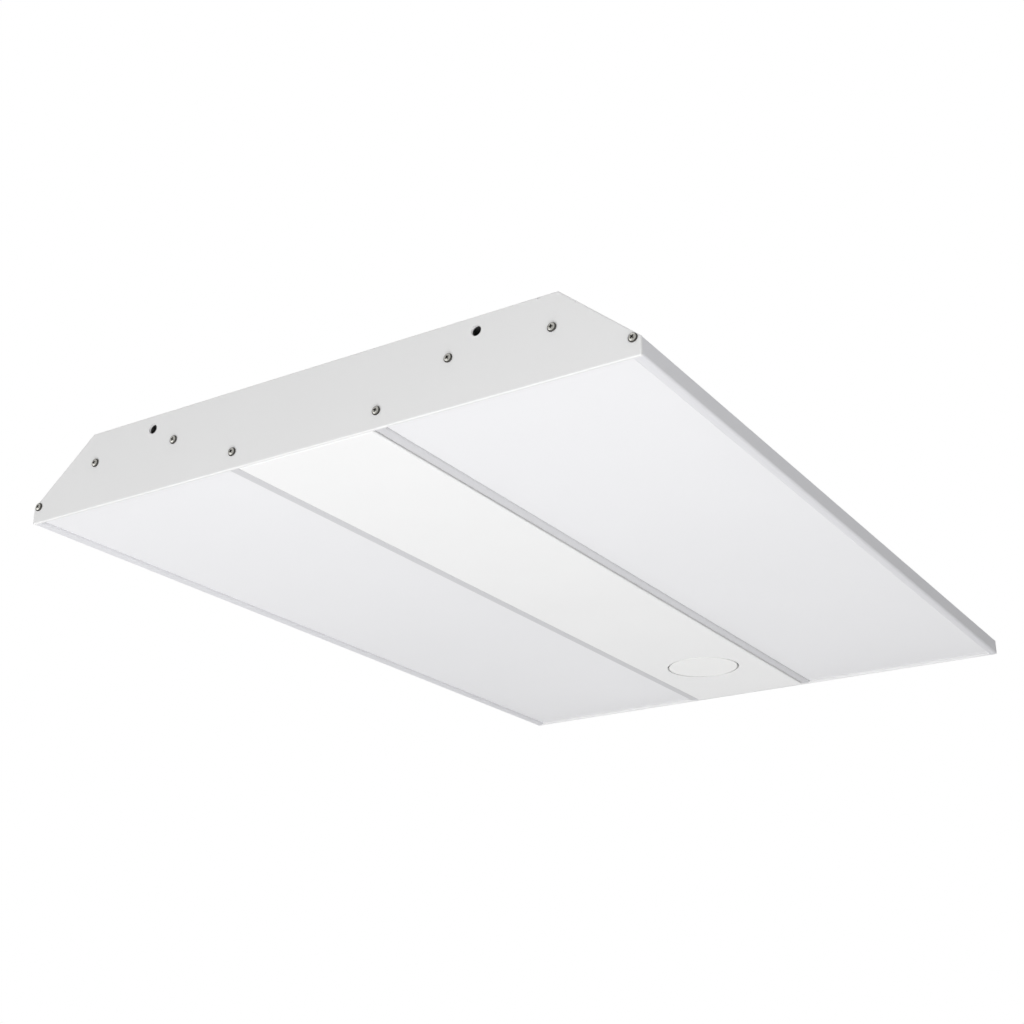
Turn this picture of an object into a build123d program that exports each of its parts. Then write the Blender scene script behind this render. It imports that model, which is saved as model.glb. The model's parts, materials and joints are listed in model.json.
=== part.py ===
from build123d import *
import os
from math import atan2, cos, degrees, hypot, pi, radians, sin, sqrt, tan

# A linear high bay light: a folded sheet body that hangs from its end plates, with two frosted
# diffusers that face down, a driver compartment between them and its cover.
# Millimetres. The origin is the centre of the flat top face, +Y runs along the light and +Z is up.
# Heights in the names below are counted upwards from the open face, the lowest plane of the light.

# Body
housing_length = 610.0
housing_width = 424.0
housing_height = 50.0
top_width = 331.0
side_height = 11.0
sheet = 1.0
lip_width = 6.0
lip_return = 2.1
lip_bend = 1.5
side_bend = 1.9
shoulder_bend = 2.0
roof_bend = 3.0

# End plates
plate = 1.5
plate_edge_radius = 0.9
plate_corner_radii = (1.0, 1.6, 2.5)
flange_depth = 12.0
flange_gap = 0.15
top_flange_half = 153.2
relief_width = 0.6
relief_depth = 1.3
shoulder_flange_start = 14.0
shoulder_flange_end = 47.0
hang_hole_x = 115.4
hang_hole_height = 41.2
hang_hole_radius = 3.1
plate_hole_radius = 1.7

# End plate screws, mirrored about the middle of the light
corner_screw = (207.6, 10.7)
shoulder_screw = (161.6, 29.8)
upper_screw = (97.7, 29.8)
lower_screw = (51.0, 10.8)
screw_shank_radius = 1.4
screw_head_radius = 2.7
screw_head_height = 1.5
screw_length = 9.5
tab_hole_radius = 1.45

# Channel rails beside the cover
rail_sheet = 0.8
rail_wall_x = 48.0
rail_lip_x = 54.9
rail_lip_height = 0.8
rail_bends = (1.0, 1.3, 1.3)
rail_height = 21.0
rail_flange_x = 56.0
rail_tab_bottom = 7.5

# Diffusers
diffuser_thickness = 2.0
diffuser_inner_x = 49.8
diffuser_outer_x = 210.4
diffuser_end_gap = 0.3
diffuser_corner = 1.0

# LED trays
tray_sheet = 1.0
tray_wall_x = 48.9
tray_wall_height = 19.0
tray_flange_height = 4.3
tray_slope_inner_x = 57.0
tray_slope_outer_x = 202.0
tray_flat_inner_x = 91.0
tray_flat_outer_x = 168.0
tray_flat_height = 24.0
tray_edge_x = 210.6
tray_edge_height = 9.0
tray_bends = (1.5, 2.0, 3.0, 3.0, 2.0, 1.5)
tray_end_gap = 0.1
tab_width = 11.5
tab_top = 35.0
corner_tab_gap = 0.4
corner_tab_reach = 7.0
corner_tab_above = 3.0
tray_notch = 9.0

# LED boards
board_length = 285.0
board_width = 22.0
board_thickness = 1.6
board_gap = 6.0
board_corner = 1.0
board_screw_inset = 9.0
row_offset = 19.0
led_size = (2.8, 3.5, 0.7)
led_offset = 5.0
leds_per_board = 20
board_screw_radius = 1.45
board_screw_head_radius = 2.6
board_screw_head_height = 1.8
board_screw_length = 6.0
connector_size = (22.0, 13.0, 5.0)
connector_corner = 1.0
connector_chamfer = 0.8

# Grommets and the leads of the trays
grommet_hole_radius = 5.0
grommet_lip_radius = 6.6
grommet_bore_radius = 2.2
grommet_lip_below = 1.3
grommet_lip_above = 1.6
grommet_bevel = 0.6
led_lead_radius = 1.5
wire_radius = 1.1

# Cover and cap
cover_sheet = 0.8
cover_half_width = 47.4
cover_height = 12.0
cover_end_gap = 0.3
cover_edge_radius = 1.1
cover_corner = 1.5
sensor_y = 211.3
sensor_hole_radius = 28.9
collar_height = 6.0
cap_radius = 27.4
cap_edge_radius = 0.4
cap_thickness = 2.4
cap_fit = 0.06
cap_leg_height = 8.0
cap_leg_wall = 2.0
cap_slot = 30.0

# Cover springs
spring_sheet = 0.5
spring_width = 12.0
spring_positions = (-220.0, 0.0, 220.0)
spring_top = 20.2
spring_arm_x = 46.55
spring_bend_heights = (13.6, 12.6)
spring_toe_height = 5.0
spring_toe = (1.4, 2.6)
spring_bends = (1.0, 1.0, 2.0)

# Rivets
rivet_shank_radius = 1.6
rivet_head_radius = 2.4
rivet_head_height = 0.8
rivet_height = 16.8
rail_rivet_positions = (-270.0, -110.0, 110.0, 270.0)
roof_rivet_positions = (-100.0, 0.0, 100.0)
roof_rivet_head_radius = 2.75
countersink_angle = 120
bulb_height = 1.8
bulb_swell = (1.35, 1.1)
bulb_rise = (0.3, 1.0)

# Driver
driver_start = -196.0
driver_length = 300.0
driver_width = 66.0
driver_bottom = 15.0
driver_wall = 1.0
driver_lug = 12.0
driver_base_corner = 3.0
driver_lid_corner = 2.5
driver_lid_edge = 2.0
driver_lead_height = 31.0
core_gap = 4.0
core_end_gap = 6.6
lid_screw_radius = 1.2
lid_screw_head = (2.2, 1.4)
lid_screw_length = 3.5
lid_screw_drop = 4.0
lid_screw_offset = 120.0
bushing_bore_radius = 3.5
bushing_neck_radius = 5.2
bushing_flange_radius = 7.5
bushing_flange = 2.0
bushing_neck = 2.2

# Roof studs, knock-outs, terminal block
stud_radius = 2.0
stud_head_radius = 3.6
stud_bottom = 41.0
stud_chamfer = 0.4
stud_play = 0.3
nut_width = 7.0
nut_height = 3.2
knockout_radius = 11.1
knockout_y = 278.0
terminal_y = -244.0
terminal_size = (40.0, 24.0, 18.0)
terminal_pole_pitch = 12.0
terminal_ear = 9.0
terminal_ear_height = 4.0
terminal_entry_height = 37.0
terminal_entry_radius = 2.0
terminal_corner = 1.0
terminal_well = (2.4, 3.2)
terminal_screw = (2.1, 2.0)
terminal_screw_sunk = 1.2
terminal_slot = (4.6, 0.8, 0.7)
terminal_row = 5.5
terminal_cage = (7.0, 3.0)
earth_stud = (38.0, -244.0)
lug_radius = 4.4
lug_neck = 3.4
lug_thickness = 0.8
lug_gap = 0.3
barrel_radius = 1.9
barrel_bore = 0.1
barrel_reach = (6.0, 12.0)

clearance = 0.05

os.makedirs("parts", exist_ok=True)


def level(height):
    """The z of a height above the open face."""
    return height - housing_height


# Planes at the open face: one for cross-sections, whose y is the height, and one seen from above
section = Plane(origin=(0, 0, -housing_height), x_dir=(1, 0, 0), z_dir=(0, -1, 0))
face_plane = Plane.XY.offset(-housing_height)

half_length = housing_length / 2
half_width = housing_width / 2
skin_end = half_length - plate
roof_underside = housing_height - sheet
shoulder_run = half_width - top_width / 2
shoulder_rise = housing_height - side_height
shoulder_length = hypot(shoulder_run, shoulder_rise)
shoulder_angle = degrees(atan2(shoulder_rise, shoulder_run))
tray_middle_x = (tray_flat_inner_x + tray_flat_outer_x) / 2
tray_top = tray_flat_height + tray_sheet
stud_places = (
    (-22.0, driver_start - driver_lug / 2),
    (22.0, driver_start - driver_lug / 2),
    (-22.0, driver_start + driver_length + driver_lug / 2),
    (22.0, driver_start + driver_length + driver_lug / 2),
    (-(terminal_size[0] + terminal_ear) / 2, terminal_y),
    ((terminal_size[0] + terminal_ear) / 2, terminal_y),
    earth_stud,
)


def folded(points, bends, thickness, side, reach):
    """A folded sheet: the path of one of its faces, the outer radius of each bend, and its reach each way."""
    with BuildPart() as folded_sheet:
        with BuildSketch(section):
            with BuildLine():
                FilletPolyline(*points, radius=bends)
                offset(amount=thickness, side=side)
            make_face()
        extrude(amount=reach, both=True)
    return folded_sheet.part


def shoulder_point(along, inward):
    """A point of the cross-section, along the right shoulder from its top and inward from its skin."""
    angle = radians(shoulder_angle)
    return (
        top_width / 2 + along * cos(angle) - inward * sin(angle),
        housing_height - along * sin(angle) - inward * cos(angle),
    )


# Housing: one sheet folded into lips, side walls, shoulders and roof
right_path = [
    (half_width - lip_width, lip_return),
    (half_width - lip_width, 0),
    (half_width, 0),
    (half_width, side_height),
    (top_width / 2, housing_height),
]
left_path = [(-x, height) for x, height in reversed(right_path)]
right_bends = [lip_bend, side_bend, shoulder_bend, roof_bend]

with BuildPart() as housing_pan:
    add(folded(right_path + left_path, right_bends + right_bends[::-1], sheet, Side.LEFT, skin_end))
    rivet_y = skin_end - flange_depth / 2
    with Locations(*[(x, y, 0) for x in roof_rivet_positions for y in (-rivet_y, rivet_y)]):
        CounterSinkHole(
            rivet_shank_radius + clearance,
            roof_rivet_head_radius + 3 * clearance,
            depth=sheet * 2,
            counter_sink_angle=countersink_angle,
        )
    with Locations(*[(x, y, 0) for x, y in stud_places]):
        Hole(stud_head_radius + clearance, depth=sheet * 2)
    with Locations((0, -knockout_y, 0), (0, knockout_y, 0)):
        Hole(knockout_radius, depth=sheet * 2)
housing_pan.part.label = "housing_pan"
export_step(housing_pan.part, "parts/housing_pan.step")


# End plates: the full outline of the body, with flanges inside the roof and the shoulders
screw_places = [
    (sign * x, height)
    for x, height in (corner_screw, shoulder_screw, upper_screw, lower_screw)
    for sign in (-1, 1)
]
with BuildPart() as end_plate_near:
    with BuildSketch(section.offset(skin_end)) as outline:
        with BuildLine():
            Polyline(
                (half_width, 0),
                (half_width, side_height),
                (top_width / 2, housing_height),
                (-top_width / 2, housing_height),
                (-half_width, side_height),
                (-half_width, 0),
                close=True,
            )
        make_face()
        for corners, radius in zip(outline.vertices().group_by(Axis.Y), plate_corner_radii):
            fillet(corners, radius=radius)
    extrude(amount=plate)
    fillet(end_plate_near.faces().sort_by(Axis.Y)[0].edges(), radius=plate_edge_radius)
    # Flanges that lie against the inside of the skin
    flange_middle = sheet + flange_gap + plate / 2
    shoulder_middle = shoulder_point((shoulder_flange_start + shoulder_flange_end) / 2, flange_middle)
    with BuildSketch(section.offset(skin_end)):
        with Locations((0, housing_height - flange_middle)):
            Rectangle(2 * top_flange_half, plate)
        for sign in (-1, 1):
            with Locations(Location((sign * shoulder_middle[0], shoulder_middle[1]), -sign * shoulder_angle)):
                Rectangle(shoulder_flange_end - shoulder_flange_start, plate)
    extrude(amount=-flange_depth)
    # Relief notches where the flanges end, the hanging holes and the screw holes
    with BuildSketch(section.offset(half_length)):
        for sign in (-1, 1):
            with Locations((sign * (top_flange_half + relief_width / 2), housing_height)):
                Rectangle(relief_width, 2 * relief_depth)
            notch = shoulder_point(shoulder_flange_start - relief_width / 2, 0)
            with Locations(Location((sign * notch[0], notch[1]), -sign * shoulder_angle)):
                Rectangle(relief_width, 2 * relief_depth)
        with Locations((-hang_hole_x, hang_hole_height), (hang_hole_x, hang_hole_height)):
            Circle(hang_hole_radius)
        with Locations(*screw_places):
            Circle(plate_hole_radius)
    extrude(amount=-plate, mode=Mode.SUBTRACT)
    # Rivet holes in the roof flange
    with Locations(*[(x, -rivet_y, level(roof_underside)) for x in roof_rivet_positions]):
        Hole(rivet_shank_radius + clearance, depth=2 * flange_middle)
end_plate_near.part.label = "end_plate_near"
export_step(end_plate_near.part, "parts/end_plate_near.step")

with BuildPart() as end_plate_far:
    mirror(end_plate_near.part, about=Plane.XZ)
end_plate_far.part.label = "end_plate_far"
export_step(end_plate_far.part, "parts/end_plate_far.step")


def pan_head_screw(shank_radius, head_radius, head_height, length):
    """A cross-recessed pan head screw, head up, with the underside of its head at the origin."""
    recess_width = 0.3 * head_radius
    recess_length = 1.15 * head_radius
    recess_depth = 0.6 * head_height
    point_length = shank_radius
    # The top is a dome from the rim up to the middle of the head
    rim_height = 0.4 * head_height
    rise = head_height - rim_height
    dome_radius = (head_radius**2 + rise**2) / (2 * rise)
    middle = 0.6 * head_radius
    middle_height = head_height - dome_radius + sqrt(dome_radius**2 - middle**2)
    with BuildPart() as screw:
        with BuildSketch(Plane.XZ):
            with BuildLine():
                Polyline((head_radius, rim_height), (head_radius, 0), (shank_radius, 0))
                Polyline(
                    (shank_radius, 0),
                    (shank_radius, point_length - length),
                    (0, -length),
                    (0, head_height),
                )
                ThreePointArc((0, head_height), (middle, middle_height), (head_radius, rim_height))
            make_face()
        revolve(axis=Axis.Z)
        with BuildSketch(Plane.XY.offset(head_height)):
            Rectangle(recess_length, recess_width)
            Rectangle(recess_width, recess_length)
        extrude(amount=-recess_depth, mode=Mode.SUBTRACT)
    return screw.part


# Screws of the end plates, each turned a little differently, as they stop where they are tight
end_screw = pan_head_screw(screw_shank_radius, screw_head_radius, screw_head_height, screw_length)
turn_step = 37
for name, y_face, tilt in (("end_screws_near", -half_length, 90), ("end_screws_far", half_length, -90)):
    with BuildPart() as end_screws:
        for number, (x, height) in enumerate(screw_places):
            place = Location((x, y_face, level(height)), (tilt, 0, 0)) * Rotation(0, 0, turn_step * number)
            with Locations(place):
                add(end_screw)
    end_screws.part.label = name
    export_step(end_screws.part, f"parts/{name}.step")


# Channel rail: the stepped lip that carries the diffuser's inner edge, a wall and a top flange
with BuildPart() as channel_rail_right:
    add(
        folded(
            [
                (rail_lip_x, lip_return),
                (rail_lip_x, rail_lip_height),
                (rail_wall_x, rail_lip_height),
                (rail_wall_x, rail_height),
                (rail_flange_x, rail_height),
            ],
            rail_bends,
            rail_sheet,
            Side.RIGHT,
            skin_end,
        )
    )
    # End tabs that take the lower screws
    tab_inner = rail_wall_x + rail_sheet / 2
    tab_middle_height = (rail_tab_bottom + rail_height - rail_sheet / 2) / 2
    for sign in (-1, 1):
        with BuildSketch(section.offset(sign * skin_end)):
            with Locations(((tab_inner + rail_flange_x) / 2, tab_middle_height)):
                Rectangle(rail_flange_x - tab_inner, 2 * (tab_middle_height - rail_tab_bottom))
            with Locations(lower_screw):
                Circle(tab_hole_radius, mode=Mode.SUBTRACT)
        extrude(amount=-sign * rail_sheet)
    # Holes for the rivets
    with BuildSketch(Plane.YZ.offset(rail_wall_x)):
        with Locations(*[(y, level(rivet_height)) for y in rail_rivet_positions + spring_positions]):
            Circle(rivet_shank_radius + clearance)
    extrude(amount=rail_sheet, mode=Mode.SUBTRACT)
channel_rail_right.part.label = "channel_rail_right"
export_step(channel_rail_right.part, "parts/channel_rail_right.step")

with BuildPart() as channel_rail_left:
    mirror(channel_rail_right.part, about=Plane.YZ)
channel_rail_left.part.label = "channel_rail_left"
export_step(channel_rail_left.part, "parts/channel_rail_left.step")


# LED tray: a white reflector folded over the diffuser, whose flat carries the boards
board_y = (board_length + board_gap) / 2
board_centres = [
    (tray_middle_x + row * row_offset, end * board_y) for row in (-1, 1) for end in (-1, 1)
]
board_screw_reach = board_length / 2 - board_screw_inset
board_screw_offsets = (-board_screw_reach, 0.0, board_screw_reach)
board_screw_places = [(x, y + step) for x, y in board_centres for step in board_screw_offsets]

with BuildPart() as led_tray_right:
    add(
        folded(
            [
                (tray_wall_x, tray_wall_height),
                (tray_wall_x, tray_flange_height),
                (tray_slope_inner_x, tray_flange_height),
                (tray_flat_inner_x, tray_flat_height),
                (tray_flat_outer_x, tray_flat_height),
                (tray_slope_outer_x, tray_flange_height),
                (tray_edge_x, tray_flange_height),
                (tray_edge_x, tray_edge_height),
            ],
            tray_bends,
            tray_sheet,
            Side.LEFT,
            skin_end - tray_end_gap,
        )
    )
    for sign in (-1, 1):
        # The inner wall stops short of the rail's end tab and its screw
        with BuildSketch(face_plane):
            with Locations((tray_wall_x, sign * skin_end)):
                Rectangle(2 * (tray_slope_inner_x - tray_wall_x), 2 * tray_notch)
        extrude(amount=rail_height, mode=Mode.SUBTRACT)
        # Tabs that take the upper, shoulder and corner screws
        with BuildSketch(section.offset(sign * (skin_end - tray_end_gap))):
            tab_height = tab_top - tray_flat_height
            for screw_x, _ in (upper_screw, shoulder_screw):
                with Locations((screw_x, tray_flat_height + tab_height / 2)):
                    Rectangle(tab_width, tab_height)
            with BuildLine():
                Polyline(
                    (tray_slope_outer_x, tray_flange_height),
                    (tray_edge_x, tray_flange_height),
                    (tray_edge_x, side_height - corner_tab_gap),
                    shoulder_point(shoulder_length - corner_tab_reach, sheet + corner_tab_gap),
                    (tray_slope_outer_x, corner_screw[1] + corner_tab_above),
                    close=True,
                )
            make_face()
            with Locations(upper_screw, shoulder_screw, corner_screw):
                Circle(tab_hole_radius, mode=Mode.SUBTRACT)
        extrude(amount=-sign * tray_sheet)
    # Rivet holes in the upright wall
    with BuildSketch(Plane.YZ.offset(tray_wall_x)):
        with Locations(*[(y, level(rivet_height)) for y in rail_rivet_positions + spring_positions]):
            Circle(rivet_shank_radius + clearance)
    extrude(amount=tray_sheet, mode=Mode.SUBTRACT)
    # Board screw holes and the grommet hole in the flat
    with BuildSketch(face_plane.offset(tray_flat_height)):
        with Locations(*board_screw_places):
            Circle(board_screw_radius + clearance)
        with Locations((tray_middle_x, 0)):
            Circle(grommet_hole_radius)
    extrude(amount=tray_sheet, mode=Mode.SUBTRACT)
led_tray_right.part.label = "led_tray_right"
export_step(led_tray_right.part, "parts/led_tray_right.step")

with BuildPart() as led_tray_left:
    mirror(led_tray_right.part, about=Plane.YZ)
led_tray_left.part.label = "led_tray_left"
export_step(led_tray_left.part, "parts/led_tray_left.step")


# Diffusers: frosted sheets that lie on the turned-up lips
diffuser_width = diffuser_outer_x - diffuser_inner_x
diffuser_reach = skin_end - diffuser_end_gap
for name, sign in (("diffuser_left", -1), ("diffuser_right", 1)):
    with BuildPart() as diffuser:
        with BuildSketch(face_plane.offset(lip_return)):
            with Locations((sign * (diffuser_inner_x + diffuser_outer_x) / 2, 0)):
                RectangleRounded(diffuser_width, 2 * diffuser_reach, diffuser_corner)
        extrude(amount=diffuser_thickness)
    diffuser.part.label = name
    export_step(diffuser.part, f"parts/{name}.step")


# LED boards, their LEDs, screws and bridge connectors
board_bottom = tray_flat_height - board_thickness
led_pitch = board_length / leds_per_board
for side, sign in (("left", -1), ("right", 1)):
    for number, (x, y) in enumerate(board_centres, start=1):
        with BuildPart() as led_board:
            with BuildSketch(face_plane.offset(board_bottom)):
                with Locations((sign * x, y)):
                    RectangleRounded(board_width, board_length, board_corner)
                    with Locations(*[(0, step) for step in board_screw_offsets]):
                        Circle(board_screw_radius + clearance, mode=Mode.SUBTRACT)
            extrude(amount=board_thickness)
        led_board.part.label = f"led_board_{side}_{number}"
        export_step(led_board.part, f"parts/led_board_{side}_{number}.step")
    with BuildPart() as led_packages:
        with BuildSketch(face_plane.offset(board_bottom)):
            with Locations(*[(sign * x + led_offset, y) for x, y in board_centres]):
                with GridLocations(0, led_pitch, 1, leds_per_board):
                    Rectangle(led_size[0], led_size[1])
        extrude(amount=-led_size[2])
    led_packages.part.label = f"led_packages_{side}"
    export_step(led_packages.part, f"parts/led_packages_{side}.step")
    with BuildPart() as bridge_connector:
        with BuildSketch(face_plane.offset(board_bottom)):
            with Locations((sign * tray_middle_x, 0)):
                RectangleRounded(connector_size[0], connector_size[1], connector_corner)
        extrude(amount=-connector_size[2])
        chamfer(bridge_connector.faces().sort_by(Axis.Z)[0].edges(), length=connector_chamfer)
    bridge_connector.part.label = f"bridge_connector_{side}"
    export_step(bridge_connector.part, f"parts/bridge_connector_{side}.step")

board_screw = pan_head_screw(
    board_screw_radius, board_screw_head_radius, board_screw_head_height, board_screw_length
)
with BuildPart() as board_screws:
    for sign in (-1, 1):
        screws = [(sign * x, y, level(board_bottom)) for x, y in board_screw_places]
        with Locations(*[Location(place, (180, 0, 0)) for place in screws]):
            add(board_screw)
board_screws.part.label = "board_screws"
export_step(board_screws.part, "parts/board_screws.step")


# Grommets that line the tray holes
for side, sign in (("left", -1), ("right", 1)):
    with BuildPart() as tray_grommet:
        with BuildSketch(Plane.XZ):
            groove_bottom = level(tray_flat_height) - clearance
            groove_top = level(tray_top) + clearance
            with BuildLine():
                Polyline(
                    (grommet_bore_radius, groove_bottom - grommet_lip_below),
                    (grommet_lip_radius - grommet_bevel, groove_bottom - grommet_lip_below),
                    (grommet_lip_radius, groove_bottom - grommet_lip_below + grommet_bevel),
                    (grommet_lip_radius, groove_bottom),
                    (grommet_hole_radius - clearance, groove_bottom),
                    (grommet_hole_radius - clearance, groove_top),
                    (grommet_lip_radius, groove_top),
                    (grommet_lip_radius - grommet_bevel, groove_top + grommet_lip_above),
                    (grommet_bore_radius, groove_top + grommet_lip_above),
                    close=True,
                )
            make_face()
        revolve(axis=Axis.Z)
    with BuildPart() as placed_grommet:
        with Locations((sign * tray_middle_x, 0, 0)):
            add(tray_grommet.part)
    placed_grommet.part.label = f"tray_grommet_{side}"
    export_step(placed_grommet.part, f"parts/tray_grommet_{side}.step")


# Driver cover: a shallow pan between the rails, with a collared opening for a sensor
cover_reach = skin_end - cover_end_gap
with BuildPart() as driver_cover:
    with BuildSketch(face_plane):
        Rectangle(2 * cover_half_width, 2 * cover_reach)
    extrude(amount=cover_height)
    fillet(driver_cover.edges().filter_by(Axis.Z), radius=cover_corner)
    fillet(driver_cover.faces().sort_by(Axis.Z)[0].edges(), radius=cover_edge_radius)
    offset(amount=-cover_sheet, openings=driver_cover.faces().sort_by(Axis.Z)[-1])
    with BuildSketch(face_plane.offset(cover_sheet / 2)):
        with Locations((0, sensor_y)):
            Circle(sensor_hole_radius + cover_sheet)
    extrude(amount=collar_height - cover_sheet / 2)
    with BuildSketch(face_plane):
        with Locations((0, sensor_y)):
            Circle(sensor_hole_radius)
    extrude(amount=cover_height, mode=Mode.SUBTRACT)
driver_cover.part.label = "driver_cover"
export_step(driver_cover.part, "parts/driver_cover.step")


# Sensor cap: a round blank with four spring legs inside the collar
cap_leg_radius = sensor_hole_radius - cap_fit
with BuildPart() as sensor_cap:
    with BuildSketch(face_plane):
        with Locations((0, sensor_y)):
            Circle(cap_radius)
    extrude(amount=cap_thickness)
    fillet(sensor_cap.faces().sort_by(Axis.Z)[0].edges(), radius=cap_edge_radius)
    with BuildSketch(face_plane.offset(cap_thickness)):
        with Locations((0, sensor_y)):
            Circle(cap_leg_radius)
            Circle(cap_leg_radius - cap_leg_wall, mode=Mode.SUBTRACT)
            with PolarLocations(0, 2, start_angle=45, angular_range=180):
                Rectangle(3 * cap_radius, cap_slot, mode=Mode.SUBTRACT)
    extrude(amount=cap_leg_height - cap_thickness)
sensor_cap.part.label = "sensor_cap"
export_step(sensor_cap.part, "parts/sensor_cap.step")


# Leaf springs riveted to the rails, whose arms press on the inside of the cover's walls
spring_path = [
    (rail_wall_x, spring_top),
    (rail_wall_x, spring_bend_heights[0]),
    (spring_arm_x, spring_bend_heights[1]),
    (spring_arm_x, spring_toe_height),
    (spring_arm_x - spring_toe[0], spring_toe[1]),
]
with BuildPart() as cover_spring:
    add(folded(spring_path, spring_bends, spring_sheet, Side.RIGHT, spring_width / 2))
    with BuildSketch(Plane.YZ.offset(rail_wall_x)):
        with Locations((0, level(rivet_height))):
            Circle(rivet_shank_radius + clearance)
    extrude(amount=-2 * spring_sheet, mode=Mode.SUBTRACT)
with BuildPart() as right_springs:
    with Locations(*[(0, y, 0) for y in spring_positions]):
        add(cover_spring.part)
with BuildPart() as cover_springs:
    add(right_springs.part)
    mirror(right_springs.part, about=Plane.YZ)
cover_springs.part.label = "cover_springs"
export_step(cover_springs.part, "parts/cover_springs.step")


def blind_rivet(grip):
    """A set blind rivet along +Z: head under the origin, shank through the grip and a bulb past it."""
    with BuildPart() as rivet:
        with BuildSketch(Plane.XZ):
            with BuildLine():
                Polyline(
                    (0, -rivet_head_height),
                    (0.6 * rivet_head_radius, -rivet_head_height),
                    (rivet_head_radius, -0.3 * rivet_head_height),
                    (rivet_head_radius, 0),
                    (rivet_shank_radius, 0),
                    (rivet_shank_radius, grip),
                    (bulb_swell[0] * rivet_shank_radius, grip + bulb_rise[0] * bulb_height),
                    (bulb_swell[1] * rivet_shank_radius, grip + bulb_rise[1] * bulb_height),
                    (0, grip + bulb_height),
                    close=True,
                )
            make_face()
        revolve(axis=Axis.Z)
    return rivet.part


# Rivets that join each rail to its tray, the longer ones through a spring too
rail_grip = tray_wall_x + tray_sheet - rail_wall_x + clearance
spring_grip = rail_grip + spring_sheet
for name, grip, head_x, positions in (
    ("rail_rivets", rail_grip, rail_wall_x, rail_rivet_positions),
    ("spring_rivets", spring_grip, rail_wall_x - spring_sheet, spring_positions),
):
    rivet = blind_rivet(grip)
    with BuildPart() as rivets:
        for y in positions:
            with Locations(
                Location((head_x - clearance / 2, y, level(rivet_height)), (0, 90, 0)),
                Location((clearance / 2 - head_x, y, level(rivet_height)), (0, -90, 0)),
            ):
                add(rivet)
    rivets.part.label = name
    export_step(rivets.part, f"parts/{name}.step")


# Flush rivets between the roof and the flanges of the end plates
roof_grip = sheet + flange_gap + plate
cone_depth = (roof_rivet_head_radius - rivet_shank_radius) / tan(radians(countersink_angle / 2))
with BuildPart() as roof_rivet:
    with BuildSketch(Plane.XZ):
        with BuildLine():
            Polyline(
                (0, -clearance),
                (roof_rivet_head_radius, -clearance),
                (rivet_shank_radius, -clearance - cone_depth),
                (rivet_shank_radius, -roof_grip - clearance),
                (bulb_swell[0] * rivet_shank_radius, -roof_grip - bulb_rise[0] * bulb_height),
                (bulb_swell[1] * rivet_shank_radius, -roof_grip - bulb_rise[1] * bulb_height),
                (0, -roof_grip - bulb_height),
                close=True,
            )
        make_face()
    revolve(axis=Axis.Z)
with BuildPart() as roof_rivets:
    with Locations(*[(x, y, 0) for x in roof_rivet_positions for y in (-rivet_y, rivet_y)]):
        add(roof_rivet.part)
roof_rivets.part.label = "roof_rivets"
export_step(roof_rivets.part, "parts/roof_rivets.step")


# Knock-out blanks, flush in the roof
with BuildPart() as roof_knockouts:
    with BuildSketch(Plane.XY.offset(-sheet)):
        with Locations((0, -knockout_y), (0, knockout_y)):
            Circle(knockout_radius - 2 * clearance)
    extrude(amount=sheet - clearance)
roof_knockouts.part.label = "roof_knockouts"
export_step(roof_knockouts.part, "parts/roof_knockouts.step")


# Studs pressed into the roof from outside, flush with it, and the nuts on them
with BuildPart() as roof_studs:
    with BuildSketch(Plane.XY.offset(-sheet)):
        with Locations(*stud_places):
            Circle(stud_head_radius)
    extrude(amount=sheet - clearance)
    with BuildSketch(Plane.XY.offset(-sheet)):
        with Locations(*stud_places):
            Circle(stud_radius)
    extrude(amount=-(roof_underside - stud_bottom))
    chamfer(roof_studs.faces().group_by(Axis.Z)[0].edges(), length=stud_chamfer)
roof_studs.part.label = "roof_studs"
export_step(roof_studs.part, "parts/roof_studs.step")


# Driver: base plate with lugs, box-shaped lid, potted circuit
driver_middle = driver_start + driver_length / 2
base_bottom = roof_underside - driver_wall
driver_ends = (driver_start, driver_start + driver_length)
driver_studs = stud_places[:4]
with BuildPart() as driver_base:
    with BuildSketch(face_plane.offset(base_bottom)):
        with Locations((0, driver_middle)):
            RectangleRounded(driver_width, driver_length + 2 * driver_lug, driver_base_corner)
        with Locations(*driver_studs):
            Circle(stud_radius + stud_play, mode=Mode.SUBTRACT)
    extrude(amount=driver_wall)
driver_base.part.label = "driver_base"
export_step(driver_base.part, "parts/driver_base.step")

lid_height = base_bottom - driver_bottom
lid_screw_height = base_bottom - lid_screw_drop
lid_screw_ys = (driver_middle - lid_screw_offset, driver_middle + lid_screw_offset)
with BuildPart() as driver_lid:
    with BuildSketch(face_plane.offset(driver_bottom)):
        with Locations((0, driver_middle)):
            Rectangle(driver_width, driver_length)
    extrude(amount=lid_height)
    fillet(driver_lid.edges().filter_by(Axis.Z), radius=driver_lid_corner)
    fillet(driver_lid.faces().sort_by(Axis.Z)[0].edges(), radius=driver_lid_edge)
    offset(amount=-driver_wall, openings=driver_lid.faces().sort_by(Axis.Z)[-1])
    with BuildSketch(Plane.XZ):
        with Locations((0, level(driver_lead_height))):
            Circle(bushing_neck_radius + clearance)
    extrude(amount=housing_length, both=True, mode=Mode.SUBTRACT)
    # Lid screw holes near the base, two on each long side
    with BuildSketch(Plane.YZ):
        with Locations(*[(y, level(lid_screw_height)) for y in lid_screw_ys]):
            Circle(lid_screw_radius + 2 * clearance)
    extrude(amount=driver_width, both=True, mode=Mode.SUBTRACT)
driver_lid.part.label = "driver_lid"
export_step(driver_lid.part, "parts/driver_lid.step")

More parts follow.
